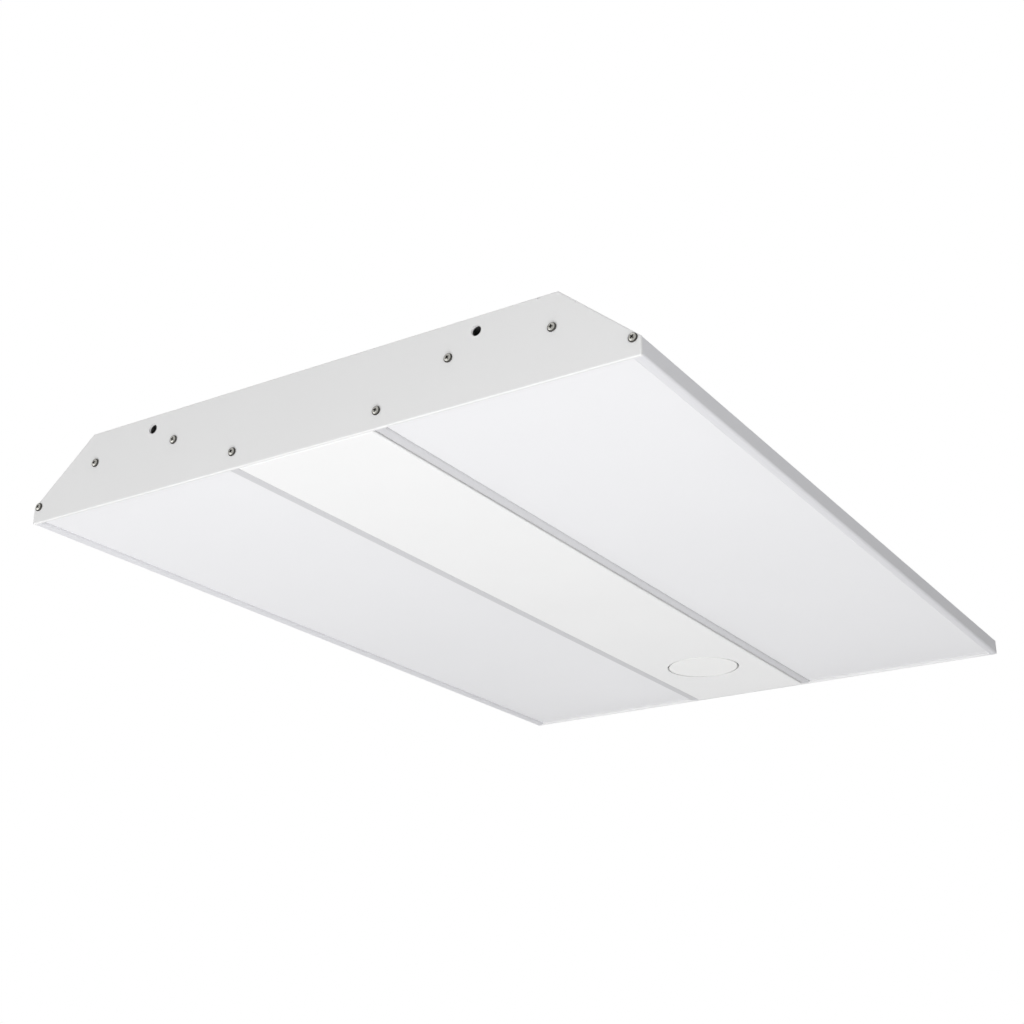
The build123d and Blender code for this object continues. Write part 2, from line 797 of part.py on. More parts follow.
with BuildPart() as driver_core:
    with BuildSketch(face_plane.offset(driver_bottom + 2 * driver_wall)):
        with Locations((0, driver_middle)):
            RectangleRounded(driver_width - 2 * core_gap, driver_length - 2 * core_end_gap, driver_lid_edge)
    extrude(amount=lid_height - 3 * driver_wall)
driver_core.part.label = "driver_core"
export_step(driver_core.part, "parts/driver_core.step")

lid_screw = pan_head_screw(lid_screw_radius, *lid_screw_head, lid_screw_length)
with BuildPart() as driver_lid_screws:
    for y in lid_screw_ys:
        with Locations(
            Location((driver_width / 2, y, level(lid_screw_height)), (0, 90, 0)),
            Location((-driver_width / 2, y, level(lid_screw_height)), (0, -90, 0)),
        ):
            add(lid_screw)
driver_lid_screws.part.label = "driver_lid_screws"
export_step(driver_lid_screws.part, "parts/driver_lid_screws.step")

with BuildPart() as driver_bushings:
    for y, sign in zip(driver_ends, (-1, 1)):
        outside = section.offset(-y)
        with BuildSketch(outside):
            with Locations((0, driver_lead_height)):
                Circle(bushing_flange_radius)
                Circle(bushing_bore_radius, mode=Mode.SUBTRACT)
        extrude(amount=-sign * bushing_flange)
        with BuildSketch(outside):
            with Locations((0, driver_lead_height)):
                Circle(bushing_neck_radius)
                Circle(bushing_bore_radius, mode=Mode.SUBTRACT)
        extrude(amount=sign * bushing_neck)
driver_bushings.part.label = "driver_bushings"
export_step(driver_bushings.part, "parts/driver_bushings.step")


# Terminal block under the roof, with wells for its clamp screws and entries for the leads
block_bottom = roof_underside - terminal_size[2]
poles = (-terminal_pole_pitch, 0.0, terminal_pole_pitch)
pole_places = [(x, terminal_y + row * terminal_row) for x in poles for row in (-1, 1)]
with BuildPart() as terminal_block:
    with BuildSketch(face_plane.offset(block_bottom)):
        with Locations((0, terminal_y)):
            RectangleRounded(terminal_size[0], terminal_size[1], terminal_corner)
    extrude(amount=terminal_size[2])
    with BuildSketch(face_plane.offset(roof_underside)):
        with Locations((0, terminal_y)):
            RectangleRounded(terminal_size[0] + 2 * terminal_ear, terminal_size[1] / 2, 2 * terminal_corner)
    extrude(amount=-terminal_ear_height)
    with BuildSketch(face_plane.offset(roof_underside)):
        with Locations(*stud_places[4:6]):
            Circle(stud_radius + stud_play)
    extrude(amount=-terminal_ear_height, mode=Mode.SUBTRACT)
    with BuildSketch(face_plane.offset(block_bottom)):
        with Locations(*pole_places):
            Circle(terminal_well[0])
    extrude(amount=terminal_well[1], mode=Mode.SUBTRACT)
    with BuildSketch(section.offset(-terminal_y)):
        with Locations(*[(x, terminal_entry_height) for x in poles]):
            Circle(terminal_entry_radius)
    extrude(amount=terminal_size[1], both=True, mode=Mode.SUBTRACT)
    with BuildSketch(section.offset(-terminal_y)):
        with Locations(*[(x, terminal_entry_height) for x in poles]):
            Rectangle(terminal_cage[0], terminal_cage[0])
    extrude(amount=terminal_cage[1], both=True)
terminal_block.part.label = "terminal_block"
export_step(terminal_block.part, "parts/terminal_block.step")

with BuildPart() as terminal_screws:
    with BuildSketch(face_plane.offset(block_bottom + terminal_screw_sunk)):
        with Locations(*pole_places):
            Circle(terminal_screw[0])
    extrude(amount=terminal_screw[1] - clearance)
    with BuildSketch(face_plane.offset(block_bottom + terminal_screw_sunk)):
        with Locations(*pole_places):
            Rectangle(terminal_slot[0], terminal_slot[1])
    extrude(amount=terminal_slot[2], mode=Mode.SUBTRACT)
terminal_screws.part.label = "terminal_screws"
export_step(terminal_screws.part, "parts/terminal_screws.step")


# Earth lug on its stud: a ring with a crimped barrel
lug_top = roof_underside - lug_gap
with BuildPart() as earth_lug:
    with BuildSketch(face_plane.offset(lug_top - lug_thickness)):
        with Locations(earth_stud):
            Circle(lug_radius)
            with Locations((0, barrel_reach[0] / 2)):
                Rectangle(lug_neck, barrel_reach[0] + lug_thickness)
            Circle(stud_radius + stud_play / 2, mode=Mode.SUBTRACT)
    extrude(amount=lug_thickness)
    with BuildSketch(section.offset(-earth_stud[1] - barrel_reach[1])):
        with Locations((earth_stud[0], lug_top - barrel_radius)):
            Circle(barrel_radius)
            Circle(wire_radius + barrel_bore, mode=Mode.SUBTRACT)
    extrude(amount=barrel_reach[1] - barrel_reach[0] + lug_thickness)
earth_lug.part.label = "earth_lug"
export_step(earth_lug.part, "parts/earth_lug.step")


# Nuts: under the driver lugs, under the terminal ears and under the earth lug
nut_tops = [base_bottom - clearance] * 4
nut_tops += [roof_underside - terminal_ear_height - clearance] * 2
nut_tops += [lug_top - lug_thickness - clearance]
with BuildPart() as stud_nuts:
    for (x, y), top in zip(stud_places, nut_tops):
        with BuildSketch(face_plane.offset(top)):
            with Locations((x, y)):
                RegularPolygon(nut_width / 2, 6, major_radius=False)
                Circle(stud_radius + clearance, mode=Mode.SUBTRACT)
        extrude(amount=-nut_height)
stud_nuts.part.label = "stud_nuts"
export_step(stud_nuts.part, "parts/stud_nuts.step")


def lead(points, radius, name):
    """A lead inside the light: a tube along straight runs joined by arcs as large as the runs allow."""
    corners = []
    for before, corner, after in zip(points, points[1:], points[2:]):
        run_in = Vector(*corner) - Vector(*before)
        run_out = Vector(*after) - Vector(*corner)
        turn = radians(run_in.get_angle(run_out))
        corners.append(0.45 * min(run_in.length, run_out.length) / tan(turn / 2))
    print(name, "bend radii", [round(corner, 1) for corner in corners])
    with BuildPart() as tube:
        with BuildLine() as route:
            FilletPolyline(*points, radius=corners)
        with BuildSketch(Plane(origin=route.line @ 0, z_dir=route.line % 0)):
            Circle(radius)
        sweep()
    length = sum(edge.length for edge in route.edges())
    print(name, "volume over section times length", round(tube.part.volume / (pi * radius**2 * length), 4))
    tube.part.label = name
    export_step(tube.part, f"parts/{name}.step")


# Mains leads from the terminal block to the driver, and the earth lead to its lug
entry_y = terminal_y + terminal_size[1] / 2
driver_entry = driver_start + 3.0
for name, pole, twin in (("lead_live", -1, -1), ("lead_neutral", 0, 1)):
    pole_x = pole * terminal_pole_pitch
    lead(
        [
            (pole_x, entry_y - 8.0, level(terminal_entry_height)),
            (pole_x, entry_y + 7.0, level(terminal_entry_height)),
            (twin * 1.6 + pole * 4.0, entry_y + 19.0, level(driver_lead_height + 0.6)),
            (twin * 1.6, driver_start - 6.0, level(driver_lead_height)),
            (twin * 1.6, driver_entry, level(driver_lead_height)),
        ],
        wire_radius,
        name,
    )
lug_z = level(lug_top - barrel_radius)
lead(
    [
        (terminal_pole_pitch, entry_y - 8.0, level(terminal_entry_height)),
        (terminal_pole_pitch, entry_y + 8.0, level(terminal_entry_height)),
        ((terminal_pole_pitch + earth_stud[0]) / 2, entry_y + 15.5, level(terminal_entry_height + 5.0)),
        (earth_stud[0], entry_y + 8.0, lug_z),
        (earth_stud[0], earth_stud[1] + barrel_reach[1] - 4.0, lug_z),
    ],
    wire_radius,
    "lead_earth",
)

# Two-core leads from the driver over the trays, down through the grommets to the bridge connectors
driver_exit = driver_start + driver_length
tray_rest = tray_top + led_lead_radius + 0.4
drop = 13.6
rise_angle = radians(41)
over_angle = radians(24)
drop_y = (0.0, drop * cos(over_angle), drop * (cos(over_angle) + 1.15 * cos(rise_angle)))
drop_heights = (
    board_bottom + drop,
    board_bottom + drop * (1 + sin(over_angle)),
    board_bottom + drop * (1 + sin(over_angle) - 1.15 * sin(rise_angle)),
)
for side, sign in (("left", -1), ("right", 1)):
    lead(
        [
            (sign * 1.8, driver_exit - 3.0, level(driver_lead_height)),
            (sign * 1.8, driver_exit + 8.0, level(driver_lead_height)),
            (sign * 9.0, driver_exit + 19.5, level(driver_lead_height + 0.5)),
            (sign * 26.0, driver_exit + 23.0, level(driver_lead_height + 1.5)),
            (sign * 50.0, driver_exit + 19.0, level(driver_lead_height + 1.0)),
            (sign * 80.0, driver_exit + 1.0, level(tray_rest + 1.6)),
            (sign * 106.0, driver_exit - 27.0, level(tray_rest)),
            (sign * 127.0, driver_exit - 58.0, level(tray_rest + 0.2)),
            (sign * tray_middle_x, drop_y[2], level(drop_heights[2])),
            (sign * tray_middle_x, drop_y[1], level(drop_heights[1])),
            (sign * tray_middle_x, drop_y[0], level(drop_heights[0])),
            (sign * tray_middle_x, 0.0, level(board_bottom)),
        ],
        led_lead_radius,
        f"led_lead_{side}",
    )
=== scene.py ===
# %% [markdown]
# # A linear high bay light, seen from below
# The light is a flat white box of folded sheet that hangs under a warehouse roof. Two frosted
# diffusers face down, a cover closes the driver compartment between them, and two end plates close
# the box. The shapes that carry load come from the CAD model. Here they get their finishes, a few
# finer pieces, a plain studio and a camera.

import bpy
import bmesh
import json
import math
from mathutils import Matrix, Vector

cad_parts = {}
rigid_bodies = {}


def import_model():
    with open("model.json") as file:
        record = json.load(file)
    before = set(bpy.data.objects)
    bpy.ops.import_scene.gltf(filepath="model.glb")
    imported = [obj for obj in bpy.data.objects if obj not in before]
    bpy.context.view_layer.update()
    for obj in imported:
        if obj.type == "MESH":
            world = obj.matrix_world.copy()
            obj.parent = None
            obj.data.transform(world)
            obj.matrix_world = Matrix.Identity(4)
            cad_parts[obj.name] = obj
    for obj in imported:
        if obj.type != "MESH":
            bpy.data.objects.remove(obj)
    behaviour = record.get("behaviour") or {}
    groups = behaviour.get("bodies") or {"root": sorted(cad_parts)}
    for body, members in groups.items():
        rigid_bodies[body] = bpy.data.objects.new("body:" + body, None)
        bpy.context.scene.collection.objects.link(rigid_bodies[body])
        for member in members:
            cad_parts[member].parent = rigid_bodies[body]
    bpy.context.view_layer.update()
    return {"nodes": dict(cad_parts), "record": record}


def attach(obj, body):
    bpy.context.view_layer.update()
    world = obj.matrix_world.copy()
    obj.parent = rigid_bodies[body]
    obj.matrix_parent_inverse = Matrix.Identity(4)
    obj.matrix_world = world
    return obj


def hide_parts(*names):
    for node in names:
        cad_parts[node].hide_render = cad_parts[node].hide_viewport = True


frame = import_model()
nodes = frame["nodes"]

# %% [markdown]
# ## Units
# The frame is in metres, with its origin in the middle of the flat top face and +Z up. Sheet metal
# is drawn in millimetres, and its heights are read from the open face, 50 mm below the top.

# %% Units
MM = 0.001
HEIGHT = 50.0


def at(x, y, height):
    """A point in metres from millimetres, its height counted up from the open face."""
    return Vector((x, y, height - HEIGHT)) * MM


print("the open face lies at z =", round(at(0, 0, 0).z, 4))

# %% [markdown]
# ## Colours
# Paint makers and screens give colours as sRGB hex values, and the shaders work in linear light.
# One function turns the first into the second.


# %% Colours
def linear(hex_value):
    """A linear RGBA colour from an sRGB hex value such as F2F2F0."""
    channels = [int(hex_value[i:i + 2], 16) / 255 for i in (0, 2, 4)]
    return [c / 12.92 if c <= 0.04045 else ((c + 0.055) / 1.055) ** 2.4 for c in channels] + [1.0]


print("white powder coat in linear light:", [round(c, 3) for c in linear("F7F7F7")])


# %% [markdown]
# ## One helper for nodes
# Every material below is a small tree of nodes. One function adds a node, sets its properties and
# its sockets, and links what it is given. A pattern's scale is worked out from a size in
# millimetres, because a noise texture of scale 1 has features about a metre wide.

# %% Node helper
def add_node(tree, kind, properties=None, **sockets):
    """Adds a node. A socket is given a value, or another node's output to link."""
    node = tree.nodes.new(kind)
    for name, value in (properties or {}).items():
        setattr(node, name, value)
    for name, value in sockets.items():
        socket = node.inputs[int(name[1:]) if name[0] == "n" and name[1:].isdigit() else name.replace("_", " ")]
        if isinstance(value, bpy.types.NodeSocket):
            tree.links.new(value, socket)
        else:
            socket.default_value = value
    return node


def per_mm(size):
    """The scale of a texture whose features are about this many millimetres across."""
    return 1 / (size * MM)


def new_material(name, **sockets):
    """A material with a Principled shader: (material, its tree, the shader, Object coordinates)."""
    material = bpy.data.materials.new(name)
    material.use_nodes = True
    tree = material.node_tree
    shader = tree.nodes["Principled BSDF"]
    for socket, value in sockets.items():
        shader.inputs[socket.replace("_", " ")].default_value = value
    coordinates = add_node(tree, "ShaderNodeTexCoord").outputs["Object"]
    return material, tree, shader, coordinates


print("a 2 mm grain has the texture scale", per_mm(2))


# %% [markdown]
# ## A base for plain finishes
# Most of the small pieces are one material with a little life in it: the colour drifts between two
# close tones over some distance, the roughness follows the same drift, and a fine grain lifts the
# surface. The numbers differ from piece to piece, so the tree is built once from them.

# %% Plain finishes
def plain_finish(name, tones, drift_mm, roughness, grain_mm, grain_depth_mm, metallic=0.0, sheen=0.5):
    """A finish of two close tones that drift into each other, with a fine grain on the surface."""
    material, tree, shader, place = new_material(name, Metallic=metallic, Specular_IOR_Level=sheen)
    drift = add_node(tree, "ShaderNodeTexNoise", None, Vector=place, Scale=per_mm(drift_mm), Detail=3.0)
    blend = add_node(tree, "ShaderNodeMix", {"data_type": "RGBA"}, Factor=drift.outputs["Fac"])
    blend.inputs[6].default_value = linear(tones[0])
    blend.inputs[7].default_value = linear(tones[1])
    tree.links.new(blend.outputs[2], shader.inputs["Base Color"])
    gloss = add_node(tree, "ShaderNodeMapRange", None, Value=drift.outputs["Fac"])
    gloss.inputs["To Min"].default_value, gloss.inputs["To Max"].default_value = roughness
    tree.links.new(gloss.outputs["Result"], shader.inputs["Roughness"])
    grain = add_node(tree, "ShaderNodeTexNoise", None, Vector=place, Scale=per_mm(grain_mm), Detail=2.0)
    bump = add_node(tree, "ShaderNodeBump", None, Height=grain.outputs["Fac"], Distance=grain_depth_mm * MM)
    tree.links.new(bump.outputs["Normal"], shader.inputs["Normal"])
    return material


# %% [markdown]
# ## White powder coat
# The end plates and the cover are steel sheet, sprayed with dry polyester powder and baked. The
# powder flows into a matt skin with a faint orange peel, waves of 1 to 2 mm that are only a few
# micrometres deep, so a low lamp shows a soft mottle and never a sharp reflection.

# %% Powder coat
powder_coat = plain_finish(
    "white_powder_coat", ("F7F7F7", "F4F4F4"), drift_mm=60, roughness=(0.52, 0.6), grain_mm=1.6, grain_depth_mm=0.02,
    sheen=0.4
)
# The end plates take a greyer copy of the cover's white powder: painted shade that matches the lower light on their
# faces.
plate_coat_painted_shade = plain_finish(
    "plate_powder_painted_shade", ("E6E6E6", "E4E4E4"), drift_mm=60, roughness=(0.52, 0.6), grain_mm=1.6, grain_depth_mm=0.02
)

# %% [markdown]
# ## Satin enamel
# The housing and the rails are sheet that was painted flat in the coil and folded afterwards. The
# enamel is a shade cooler and smoother than the powder, and dead matt, so the walls and lips hold an
# even tone. The rails take a greyer copy of it, painted shade for the channels beside the cover.

# %% Satin enamel
satin_enamel = plain_finish(
    "satin_enamel", ("E4E4E7", "E0E0E3"), drift_mm=90, roughness=(0.5, 0.56), grain_mm=2.4, grain_depth_mm=0.012,
    sheen=0.1
)
# A greyer copy of the satin enamel for the rails: painted shade in the channels beside the cover.
rail_enamel_painted_shade = plain_finish(
    "rail_enamel_painted_shade", ("D6D6D8", "D2D2D5"), drift_mm=70, roughness=(0.5, 0.56), grain_mm=2.4, grain_depth_mm=0.012,
    sheen=0.1
)

# %% [markdown]
# ## Reflector enamel
# The trays behind the diffusers are coated with a very white gloss enamel that sends the light down.

# %% Reflector enamel
reflector_enamel = plain_finish(
    "reflector_enamel", ("F6F6F3", "F3F3F0"), drift_mm=80, roughness=(0.22, 0.3), grain_mm=2.0, grain_depth_mm=0.01
)

# %% [markdown]
# ## Opal polycarbonate
# The diffusers are extruded sheets, filled with a white pigment and rolled to a fine matt. Unlit,
# they look like clean, faintly blue paper, with a soft sheen at a low angle.

# %% Opal polycarbonate
opal_sheet = plain_finish(
    "opal_polycarbonate", ("F1F1F3", "EEEEF0"), drift_mm=120, roughness=(0.46, 0.54), grain_mm=0.9, grain_depth_mm=0.01
)

# %% [markdown]
# ## Galvanised steel
# The driver's shell is bent from hot-dipped sheet. The zinc freezes in crystals some 7 mm across, and
# each one lies at its own angle, so flat patches of lighter and darker grey meet at sharp edges. A
# Voronoi texture draws such cells: the random colour of a cell gives its tone and its gloss.

# %% Galvanised steel
SPANGLE = 7.0
galvanised, tree, shader, place = new_material("galvanised_steel", Metallic=1.0)
crystals = add_node(tree, "ShaderNodeTexVoronoi", None, Vector=place, Scale=per_mm(SPANGLE))
angles = add_node(tree, "ShaderNodeSeparateColor", None, Color=crystals.outputs["Color"])
tone = add_node(tree, "ShaderNodeMix", {"data_type": "RGBA"}, Factor=angles.outputs["Red"])
tone.inputs[6].default_value = linear("C4C7C9")
tone.inputs[7].default_value = linear("A3A7AB")
tree.links.new(tone.outputs[2], shader.inputs["Base Color"])
gloss = add_node(tree, "ShaderNodeMapRange", None, Value=angles.outputs["Green"])
gloss.inputs["To Min"].default_value, gloss.inputs["To Max"].default_value = (0.3, 0.5)
tree.links.new(gloss.outputs["Result"], shader.inputs["Roughness"])
frost = add_node(tree, "ShaderNodeTexNoise", None, Vector=place, Scale=per_mm(0.8), Detail=2.0)
relief = add_node(tree, "ShaderNodeBump", None, Height=frost.outputs["Fac"], Distance=0.01 * MM)
tree.links.new(relief.outputs["Normal"], shader.inputs["Normal"])
print("spangle of", SPANGLE, "mm")

# %% [markdown]
# ## Small finishes
# The rest is what an electrician finds in any light: zinc-plated screws, aluminium rivets, a strip
# of spring steel, white circuit boards, moulded connectors and insulated wire.

# %% Small finishes
finishes = {
    "housing_paint": satin_enamel,
    "knockout_paint": satin_enamel,
    "white_powder_coat": powder_coat,
    "reflector_white": reflector_enamel,
    "frosted_diffuser": opal_sheet,
    "cap_plastic": plain_finish("moulded_abs", ("F8F8F7", "F5F5F4"), 30, (0.42, 0.5), 0.7, 0.012),
    "zinc_plate": plain_finish("zinc_plated_steel", ("B8B7B2", "8C8B86"), 1.2, (0.3, 0.46), 0.3, 0.012, 1.0),
    "rivet_aluminium": plain_finish("plain_aluminium", ("ACACAA", "9C9C9A"), 2, (0.36, 0.48), 0.4, 0.008, 1.0),
    "spring_steel": plain_finish("spring_steel", ("A9A9A6", "8F8F8C"), 5, (0.28, 0.4), 0.5, 0.006, 1.0),
    "board_white": plain_finish("white_solder_mask", ("F4F4F1", "EEEEEA"), 12, (0.3, 0.4), 0.8, 0.01),
    "led_phosphor": plain_finish("led_phosphor", ("F2D264", "EBC54C"), 1.0, (0.3, 0.4), 0.2, 0.005),
    "connector_plastic": plain_finish("ivory_nylon", ("EDE9D8", "E6E1CD"), 6, (0.4, 0.5), 0.4, 0.01),
    "grommet_rubber": plain_finish("black_rubber", ("232323", "2C2C2C"), 4, (0.6, 0.75), 0.5, 0.02),
    "driver_shell": galvanised,
    "potting": plain_finish("potting_resin", ("1B1B1D", "242426"), 8, (0.35, 0.5), 1.2, 0.04),
    "terminal_plastic": plain_finish("polyamide", ("E4E2D6", "DCDACC"), 10, (0.42, 0.52), 0.5, 0.012),
    "terminal_brass": plain_finish("plated_brass", ("D6B36A", "C39E55"), 1.5, (0.25, 0.4), 0.3, 0.01, 1.0),
    "tinned_copper": plain_finish("tinned_copper", ("C9C6BF", "B4B0A8"), 1.5, (0.28, 0.42), 0.3, 0.01, 1.0),
    "wire_black": plain_finish("black_pvc", ("1D1D1E", "262627"), 6, (0.4, 0.5), 0.5, 0.01),
    "wire_white": plain_finish("white_pvc", ("EDEDEA", "E4E4E0"), 6, (0.4, 0.5), 0.5, 0.01),
    "wire_green": plain_finish("green_pvc", ("1E7A3C", "1A6C34"), 6, (0.4, 0.5), 0.5, 0.01),
    "cable_grey": plain_finish("grey_sheath", ("A2A3A5", "97989B"), 6, (0.45, 0.55), 0.5, 0.012),
}
for entry in frame["record"]["subparts"]:
    mesh = nodes[entry["node"]].data
    mesh.materials.clear()
    mesh.materials.append(finishes[entry["material_slot"]])
# The end plates take the greyer copy of the powder: painted shade.
for node in ("end_plate_near", "end_plate_far"):
    nodes[node].data.materials[0] = plate_coat_painted_shade
# The rails take the greyer copy of the enamel: painted shade in the channels.
for node in ("channel_rail_left", "channel_rail_right"):
    nodes[node].data.materials[0] = rail_enamel_painted_shade
print(len(finishes), "finishes on", len(nodes), "nodes")

# %% [markdown]
# ## One end screw
# The plates are held by self-tapping screws of 2.9 mm. A press strikes the pan head from wire and
# punches the cross recess in the same blow, and the thread is rolled, so the head has soft edges
# and the recess tapers towards its floor. A half profile is spun round the axis, which gives the
# head, the thread as rings and the point in one go. The recess is two tapered bars cut out of it,
# because their crossing is hard to knit by hand. The recess and the foot of the head round the rim
# are coloured a dark zinc, which is painted shade: it stands for the shadow that falls there.

# %% Screw profile
HEAD_RADIUS = 2.7
HEAD_HEIGHT = 1.5
SHANK_RADIUS = 1.4
SCREW_LENGTH = 9.5
THREAD_PITCH = 1.1
head_profile = [(0.0, 1.5), (0.6, 1.47), (1.15, 1.39), (1.65, 1.25), (2.1, 1.04), (2.45, 0.78), (2.64, 0.5),
                (HEAD_RADIUS, 0.25), (2.64, 0.06), (2.5, 0.0), (SHANK_RADIUS, 0.0)]
thread_profile = []
for turn in range(7):
    start = -0.6 - turn * THREAD_PITCH
    thread_profile += [(1.1, start), (SHANK_RADIUS, start - THREAD_PITCH / 2)]
screw_profile = head_profile + thread_profile + [(0.0, -SCREW_LENGTH)]


def spin_profile(name, profile, steps=32):
    """A closed round mesh: a half profile of (radius, height) in mm, spun round the z axis."""
    bm = bmesh.new()
    line = [bm.verts.new((radius * MM, 0.0, height * MM)) for radius, height in profile]
    edges = [bm.edges.new(pair) for pair in zip(line, line[1:])]
    bmesh.ops.spin(bm, geom=line + edges, cent=(0, 0, 0), axis=(0, 0, 1), dvec=(0, 0, 0), angle=math.tau,
                   steps=steps, use_merge=True, use_duplicate=False)
    bmesh.ops.remove_doubles(bm, verts=bm.verts, dist=0.001 * MM)
    bmesh.ops.recalc_face_normals(bm, faces=bm.faces)
    for face in bm.faces:
        face.smooth = True
    for edge in bm.edges:
        edge.smooth = edge.calc_face_angle(0.0) < math.radians(50)
    mesh = bpy.data.meshes.new(name)
    bm.to_mesh(mesh)
    bm.free()
    return mesh


blank_mesh = spin_profile("screw_blank", screw_profile)
# Faces below 1 mm, the foot of the head and the shank, take the second finish, a dark zinc that paints the shade round
# the rim.
for face in blank_mesh.polygons:
    face.material_index = 1 if face.center.z < 1.0 * MM else 0
print("screw blank:", len(blank_mesh.polygons), "faces")

# %% The cross recess
# A dark copy of the zinc, which paints the shade in the recess and round the rim.
painted_shade_zinc = plain_finish("zinc_painted_shade", ("4E4D4A", "343331"), 0.8, (0.42, 0.6), 0.3, 0.02, metallic=1.0)
RECESS_DEPTH = 1.1
RECESS_WIDTH = 0.95
RECESS_REACH = 1.75

bm = bmesh.new()
for turn in (0.0, math.radians(90)):
    bar = bmesh.ops.create_cube(bm, size=2.0)["verts"]
    bmesh.ops.scale(bm, verts=bar, vec=Vector((RECESS_REACH, RECESS_WIDTH / 2, RECESS_DEPTH)) * MM)
    low = [vert for vert in bar if vert.co.z < 0]
    bmesh.ops.scale(bm, verts=low, vec=(0.42, 0.62, 1.0))
    bmesh.ops.translate(bm, verts=bar, vec=(0, 0, HEAD_HEIGHT * MM))
    bmesh.ops.rotate(bm, verts=bar, cent=(0, 0, 0), matrix=Matrix.Rotation(turn, 3, "Z"))
# The recess faces take the dark zinc: painted shade in the recess.
for face in bm.faces:
    face.material_index = 1
cutter_mesh = bpy.data.meshes.new("recess_cutter")
bm.to_mesh(cutter_mesh)
bm.free()


def cut_mesh(name, body, tool, materials):
    """The body with the tool cut out of it by an exact Boolean, baked into a new mesh."""
    pair = [bpy.data.objects.new(f"{name}_{part.name}", part) for part in (body, tool)]
    for piece in pair:
        for material in materials:
            piece.data.materials.append(material)
        bpy.context.scene.collection.objects.link(piece)
    cut = pair[0].modifiers.new("cut", "BOOLEAN")
    cut.operation = "DIFFERENCE"
    cut.solver = "EXACT"
    cut.use_self = True
    cut.object = pair[1]
    mesh = bpy.data.meshes.new_from_object(pair[0].evaluated_get(bpy.context.evaluated_depsgraph_get()))
    mesh.name = name
    for piece in pair:
        bpy.data.objects.remove(piece)
    return mesh


screw_mesh = cut_mesh("end_screw", blank_mesh, cutter_mesh, [finishes["zinc_plate"], painted_shade_zinc])
print("screw:", len(screw_mesh.polygons), "faces, in", len(screw_mesh.materials), "finishes")

# %% [markdown]
# ## Sixteen end screws
# Eight screws hold each plate, at the same heights left and right. A screwdriver stops where the
# screw is tight, so every recess points another way. The one mesh is copied and turned into each
# place, and the copies of a plate make one piece.

# %% Sixteen end screws
SCREW_PLACES = ((207.6, 10.7), (161.6, 29.8), (97.7, 29.8), (51.0, 10.8))


def place_copies(name, mesh, places):
    """One object of copies of a mesh, each moved by its own matrix."""
    bm = bmesh.new()
    for place in places:
        first = len(bm.verts)
        bm.from_mesh(mesh)
        bm.verts.ensure_lookup_table()
        bmesh.ops.transform(bm, matrix=place, verts=bm.verts[first:])
    joined = bpy.data.meshes.new(name)
    bm.to_mesh(joined)
    bm.free()
    for material in mesh.materials:
        joined.materials.append(material)
    piece = bpy.data.objects.new(name, joined)
    bpy.context.scene.collection.objects.link(piece)
    return piece


for end, side, quarter in (("near", -1, 90), ("far", 1, -90)):
    places = []
    for number, (x, height) in enumerate(SCREW_PLACES):
        for mirror in (-1, 1):
            turn = Matrix.Rotation(math.radians(45 + 37 * number * mirror), 4, "Z")
            upright = Matrix.Rotation(math.radians(quarter), 4, "X")
            places.append(Matrix.Translation(at(mirror * x, side * 305.0, height)) @ upright @ turn)
    screws = place_copies(f"pan_head_screws_{end}", screw_mesh, places)
    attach(screws, "housing")
    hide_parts(f"end_screws_{end}")
    print(screws.name, len(screws.data.polygons), "faces")

# %% [markdown]
# ## Flush rivets of the roof
# Three blind rivets fasten the roof to the flange of each plate. The head is countersunk, so the roof
# stays flat under a beam, and in its middle sits the stub of the pin that pulled the rivet tight and
# broke off. Below, the tail has swelled over the flange. That is again a round body, so it is spun.

# %% Flush rivets
RIVET_PLACES = [(x, y) for x in (-100.0, 0.0, 100.0) for y in (-297.5, 297.5)]
rivet_profile = [(0.0, -0.42), (0.45, -0.45), (0.72, -0.55), (0.78, -0.7), (0.98, -0.3), (1.1, -0.09), (1.25, -0.05),
                 (2.55, -0.05), (2.7, -0.08), (2.74, -0.14), (1.6, -0.73), (1.6, -2.7), (2.16, -3.25),
                 (1.98, -3.8), (1.6, -4.2), (0.9, -4.42), (0.0, -4.45)]
rivet_mesh = spin_profile("flush_rivet", rivet_profile)
rivet_mesh.materials.append(finishes["rivet_aluminium"])
flush_rivets = place_copies("flush_rivets", rivet_mesh, [Matrix.Translation(at(x, y, 50.0)) for x, y in RIVET_PLACES])
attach(flush_rivets, "housing")
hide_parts("roof_rivets")
print("flush rivets:", len(RIVET_PLACES))

# %% [markdown]
# ## Studs pressed into the roof
# Threaded studs carry the driver, the terminal block and the earth lug. A press seats the round head
# level with the sheet, and the die leaves a shallow ring in it. The thread is drawn as rings, because
# a helix of 0.7 mm pitch looks the same from any distance at which the light is seen.

# %% Pressed studs
STUD_PLACES = ((-22.0, -202.0), (22.0, -202.0), (-22.0, 110.0), (22.0, 110.0),
               (-24.5, -244.0), (24.5, -244.0), (38.0, -244.0))
stud_profile = [(0.0, -0.12), (1.7, -0.12), (1.85, -0.22), (2.1, -0.22), (2.25, -0.05), (3.42, -0.05), (3.55, -0.12),
                (3.6, -0.25), (3.6, -1.0), (1.9, -1.0)]
for turn in range(10):
    start = -1.6 - turn * 0.7
    stud_profile += [(1.65, start), (2.0, start - 0.35)]
stud_profile += [(1.6, -9.0), (0.0, -9.0)]
stud_mesh = spin_profile("pressed_stud", stud_profile, 28)
stud_mesh.materials.append(finishes["zinc_plate"])
studs = place_copies("pressed_studs", stud_mesh, [Matrix.Translation(at(x, y, 50.0)) for x, y in STUD_PLACES])
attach(studs, "housing")
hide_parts("roof_studs")
print("studs:", len(STUD_PLACES))

# %% [markdown]
# ## Knock-outs
# A punch cuts a knock-out almost free and pushes it back, so it hangs on two thin tabs until somebody
# wants a conduit there. Its edge is rounded by the punch, which shows as a fine dark ring. A circle
# is extruded to the thickness of the sheet and its rims are bevelled, and two small blocks are the
# tabs, which bridge the ring.

